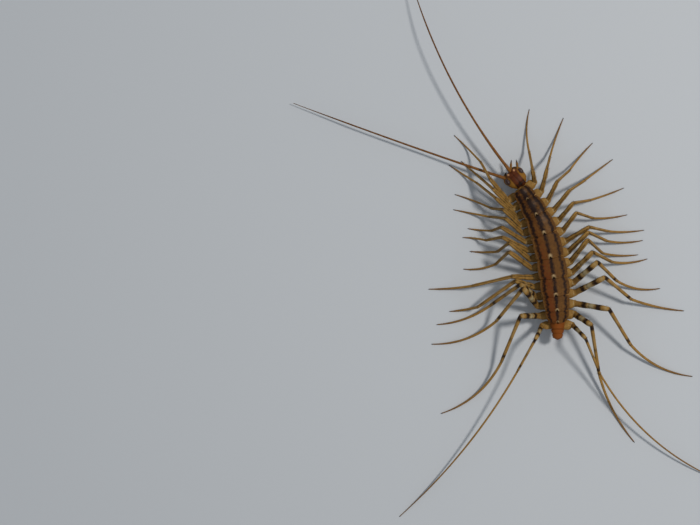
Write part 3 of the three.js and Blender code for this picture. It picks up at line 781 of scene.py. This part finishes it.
def leg_pattern(side, pair, places, sides):
    """Dark bands by place, dark keels by turn, pale gaps between bands, and warm feet."""
    rear = float(np.clip((pair - (9.3 if side > 0 else 10.3)) / 1.7, 0, 1))
    turn = 2 * np.pi * np.arange(sides)[None] / sides
    s = places[:, None]
    bands = sum(bump_at(s, c, w) for c, w in ((0.31, 0.07), (0.7, 0.09), (1.05, 0.05)))
    shin_bands = 0.5 * bump_at(s, 1.5, 0.05) + bump_at(s, 1.87, 0.06)
    joints = sum(bump_at(s, c, 0.02) for c in (0.44, 1.0, 2.0))
    keels = np.clip(np.cos(5 * turn), 0, 1) ** 3 * (s < 2) * (s > 0) * (1 - 0.8 * rear)
    dark = rear * (bands + 0.8 * shin_bands) + 0.8 * keels + 0.4 * joints
    pale = rear * (bump_at(s, 0.5, 0.1) + 0.45 * bump_at(s, 0.9, 0.05)) + 0.25 * bump_at(s, 1.35, 0.2)
    # painted highlight: pale on the top side only, at the end of each coxa
    glint = 0.9 * bump_at(s, -0.06, 0.05) * np.clip(np.sin(turn), 0, 1) ** 2
    pale = pale * np.clip(1 - 0.6 * keels, 0, 1) + glint
    warm = np.clip(s - 2.1, 0, 1) * 0.9 + 0.2 * (s < 0) + 0.3 * rear * bump_at(s, 0.12, 0.12)
    return dark + 0 * s * turn, pale + 0 * turn, warm + 0 * turn


# %% [markdown]
# ## Building the legs
# Spurs stand at the ends of the thigh's two parts and of the shin. Fine bristles lean towards the
# foot all along. The claw at the tip is a piece of its own, because it is harder and darker.

# %% Legs
LEG_SIDES = 20
SPUR_PLACES = ((0.43, 0.75), (0.98, 0.65), (1.97, 0.5))  # place on the leg, length of the spur


def spurs(points, radii, places, scale):
    """Stout cones in a half ring round each joint, leaning along the leg."""
    along, side, top = frame_along(points)
    parts = []
    for place, length in SPUR_PLACES:
        i = int(np.argmin(np.abs(places - place)))
        turn = np.radians([20.0, 75.0, 130.0, 185.0, 300.0])
        out = side[i] * np.cos(turn)[:, None] + top[i] * np.sin(turn)[:, None]
        ways = along[i] * 0.8 + out * 0.6
        size = length * scale * np.array([1.0, 0.7, 0.9, 0.6, 0.8])
        parts.append(bristles(points[i] + out * radii[i] * 0.8, ways, size, 0.05, dark=0.7, droop=0.0))
    return joined(parts)


def leg_bristles(points, radii, places, pair):
    """Fine bristles at random places and turns: dense on the thigh, sparse and short below."""
    along, side, top = frame_along(points)
    count = 150
    wanted = np.where(rng.random(count) < 0.6, rng.uniform(-0.4, 1.0, count), rng.uniform(1.0, 2.95, count))
    i = np.searchsorted(places, wanted).clip(1, len(places) - 2)
    turn = rng.uniform(0, 2 * np.pi, count)
    out = side[i] * np.cos(turn)[:, None] + top[i] * np.sin(turn)[:, None]
    ways = along[i] * 0.75 + out * 0.55 + rng.normal(0, 0.08, (count, 3))
    lengths = np.where(wanted < 1, rng.uniform(0.2, 0.55, count), rng.uniform(0.12, 0.3, count))
    bases = points[i] + out * radii[i][:, None] * 0.92
    clear = bases[:, 2] + ways[:, 2] * lengths > 0.03
    return bristles(bases[clear], ways[clear], lengths[clear], 0.014, dark=0.75)


hairs, claws = {"right": [], "left": []}, []
for side, which, poses, lifts in ((1, "right", POSE_RIGHT, LIFT_RIGHT), (-1, "left", POSE_LEFT, LIFT_LEFT)):
    for pair, pose in enumerate(poses, 1):
        points, radii, wide, places = leg_line(side, pair, pose, lifts.get(pair, [0.0, 0.0]))
        dark, pale, warm = leg_pattern(side, pair, places, LEG_SIDES)
        ridges = np.where(places < 2, 0.07, 0.0) * np.clip(places + 1, 0, 1)
        leg = tube(points, radii, LEG_SIDES, ridges, 5, wide, dark=dark, pale=pale, warm=warm)
        armed = joined([leg, spurs(points, radii, places, 0.85 if pair < LEG_PAIRS else 0.6)])
        add_piece(f"{which}_leg_{pair:02d}", armed, leg_horn, "leg", f"leg_{which}_{pair:02d}")
        hairs[which].append(leg_bristles(points, radii, places, pair))
        tip_way = unit(points[-1] - points[-4])
        hook = points[-1] + tip_way * np.array([0.0, 0.1, 0.2, 0.28])[:, None]
        hook[:, 2] = np.maximum(hook[:, 2] + np.array([0, 0.04, 0.0, -0.05]), 0.03)
        claws.append(tube(hook, np.array([0.07, 0.06, 0.04, 0.012]), 8, dark=np.ones(4)))
for which, parts in hairs.items():
    add_piece(f"{which}_leg_bristles", joined(parts), leg_horn, "leg")
add_piece("claws", joined(claws), leg_horn, "leg")

# %% [markdown]
# ## Antennae
# Each antenna is a whip of hundreds of rings, thick at the root and as fine as thread at its
# end. It leaves the brow on a wide arc.

# %% Antennae
ANTENNA_LENGTH = 38.0
ANTENNAE = {
    "right": ((2.05, 0.05), -21, 0.62, (4.3, 4.9, 4.6, 2.4)),
    "left": ((1.5, -1.5), -54, 0.06, (3.3, 2.1, 1.9, 1.1)),
}


def spline_height(heights, share):
    """A smooth curve through evenly spaced heights, with Catmull-Rom slopes."""
    heights = np.asarray(heights, float)
    position = share * (len(heights) - 1)
    i = np.clip(position.astype(int), 0, len(heights) - 2)
    t = position - i
    before = heights[np.maximum(i - 1, 0)]
    after = heights[np.minimum(i + 2, len(heights) - 1)]
    low, high = heights[i], heights[i + 1]
    rise, fall = (high - before) / 2, (after - low) / 2
    curve = (2 * low - 2 * high + rise + fall) * t**3 + (-3 * low + 3 * high - 2 * rise - fall) * t**2
    return curve + rise * t + low


for which, ((ahead, across), heading, turn, heights) in ANTENNAE.items():
    share = np.linspace(0, 1, 620)
    angle = np.radians(heading + turn * ANTENNA_LENGTH * share)
    step = ANTENNA_LENGTH / 619
    start = from_head(ahead, across, 0.0)
    forward = -start[1] + np.concatenate([[0], np.cumsum(np.cos(angle[1:]) * step)])
    right = -start[0] + np.concatenate([[0], np.cumsum(np.sin(angle[1:]) * step)])
    points = at(forward, right, spline_height(heights, share))
    inward = from_head(ahead - 0.7, across * 0.75, -0.05)
    rooted = np.linspace(0, 1, 12, endpoint=False)[:, None]
    points = np.concatenate([inward + (points[0] - inward) * rooted, points])
    share = np.concatenate([np.zeros(12), share])
    rings = 1 + 0.06 * np.cos(2 * np.pi * np.arange(len(points)) / 4.5)
    radii = eased([[0, 0.3], [0.04, 0.25], [0.3, 0.17], [0.7, 0.13], [1, 0.05]], share) * rings
    dark = 0.35 * (np.arange(len(points)) % 27 < 4) + 0.3 * share
    feeler = tube(points, radii, 10, dark=dark, warm=0.5 * (1 - share))
    along, side_way, top = frame_along(points)
    i = rng.integers(20, len(points) - 2, 260)
    around = rng.uniform(0, 2 * np.pi, 260)
    out = side_way[i] * np.cos(around)[:, None] + top[i] * np.sin(around)[:, None]
    bases = points[i] + out * radii[i][:, None] * 0.9
    fuzz = bristles(bases, along[i] * 0.7 + out * 0.6, 0.16, 0.011, dark=0.7)
    add_piece(f"{which}_antenna", joined([feeler, fuzz]), feeler_horn, "antenna", f"antenna_{which}")

# %% [markdown]
# ## Poison claws and jaw feelers
# Under the head two curved fangs close from the sides: they are the first legs, turned into
# poison claws. Two bristly feelers of the jaws reach out in front. Each is a tube on a smooth line
# through five points, the first of them well inside the head, so that it grows out of it.

# %% Mouthparts
CLAW_SIZES = [[0, 0.5], [0.25, 0.54], [0.48, 0.5], [0.7, 0.32], [0.75, 0.26], [1, 0.04]]
FEELER_SIZES = [[0, 0.2], [0.3, 0.22], [0.36, 0.17], [0.66, 0.19], [0.72, 0.14], [1, 0.05]]
CLAW_LINE = [
    [-0.9, 0.75, -0.7], [-0.2, 1.15, -1.42], [0.7, 1.45, -1.7], [1.5, 1.1, -1.82], [1.95, 0.45, -1.8],
]
FEELER_RIGHT = [
    [0.8, 1.05, -0.6], [1.25, 1.35, -0.87], [1.6, 1.65, -0.85], [2.05, 1.9, -0.55], [2.45, 2.1, -0.1],
]
FEELER_LEFT = [
    [1.2, 0.3, -0.6], [1.78, 0.4, -0.87], [2.15, 0.7, -0.85], [2.6, 1.1, -0.55], [2.95, 1.45, -0.1],
]
MOUTHPARTS = {
    "poison_claw": (CLAW_SIZES, {"right": CLAW_LINE, "left": np.array(CLAW_LINE) * [1, -1, 1]}),
    "jaw_feeler": (FEELER_SIZES, {"right": FEELER_RIGHT, "left": FEELER_LEFT}),
}
for part, (sizes, lines) in MOUTHPARTS.items():
    for which, stations in lines.items():
        share = np.linspace(0, 1, 60)
        ahead, across, up = (spline_height(column, share) for column in np.array(stations).T)
        points = from_head(ahead, across, up)
        radii = eased(sizes, share)
        hook = tube(points, radii, 16, dark=0.9 * np.clip((share - 0.7) / 0.2, 0, 1), warm=0.9 + 0 * share)
        along, side_way, top = frame_along(points)
        i = rng.integers(6, 54, 40)
        around = rng.uniform(0, 2 * np.pi, 40)
        out = side_way[i] * np.cos(around)[:, None] + top[i] * np.sin(around)[:, None]
        fuzz = bristles(points[i] + out * radii[i][:, None] * 0.9, along[i] * 0.5 + out * 0.7, 0.2, 0.013)
        add_piece(f"{which}_{part}", joined([hook, fuzz]), head_horn, "mouthparts", f"{part}_{which}")

# %% [markdown]
# ## Floor and light
# A plain pale floor, and one soft lamp from the picture's right, high up, as the shadows in the
# picture show. The sky of the scene fills the shadows.

# %% Stage
floor_data = bpy.data.meshes.new("floor")
FLOOR_SIZE = 2.0
corners = np.array([[-1, -1, 0], [1, -1, 0], [1, 1, 0], [-1, 1, 0]]) * FLOOR_SIZE
floor_data.from_pydata(corners.tolist(), [], [[0, 1, 2, 3]])
floor = bpy.data.objects.new("floor", floor_data)
bpy.context.scene.collection.objects.link(floor)
floor_paint = bpy.data.materials.new("floor_paint")
floor_paint.use_nodes = True
floor_shader = floor_paint.node_tree.nodes["Principled BSDF"]
floor_shader.inputs["Base Color"].default_value = linear(188, 191, 195)
floor_shader.inputs["Roughness"].default_value = 0.9
floor_data.materials.append(floor_paint)

LAMP_WAY = np.array([-0.47, -0.02, 0.88])
LAMP_DISTANCE = 0.45
LAMP_SIZE = 0.06
LAMP_POWER = 1.2  # watts
SKY_STRENGTH = 0.39
lamp_data = bpy.data.lights.new("lamp", "AREA")
lamp_data.shape = "DISK"
lamp_data.size = LAMP_SIZE
lamp_data.energy = LAMP_POWER
lamp_data.color = (1.0, 0.97, 0.92)
lamp = bpy.data.objects.new("lamp", lamp_data)
bpy.context.scene.collection.objects.link(lamp)
lamp.location = LAMP_WAY * LAMP_DISTANCE
lamp.rotation_euler = (0.0, math.atan2(LAMP_WAY[0], LAMP_WAY[2]), 0.0)

world = bpy.data.worlds.new("sky")
world.use_nodes = True
sky = world.node_tree.nodes["Background"]
sky.inputs["Color"].default_value = (0.86, 0.93, 1.0, 1.0)
sky.inputs["Strength"].default_value = SKY_STRENGTH
bpy.context.scene.world = world
bpy.context.scene.view_settings.view_transform = "Standard"
print("stage set")
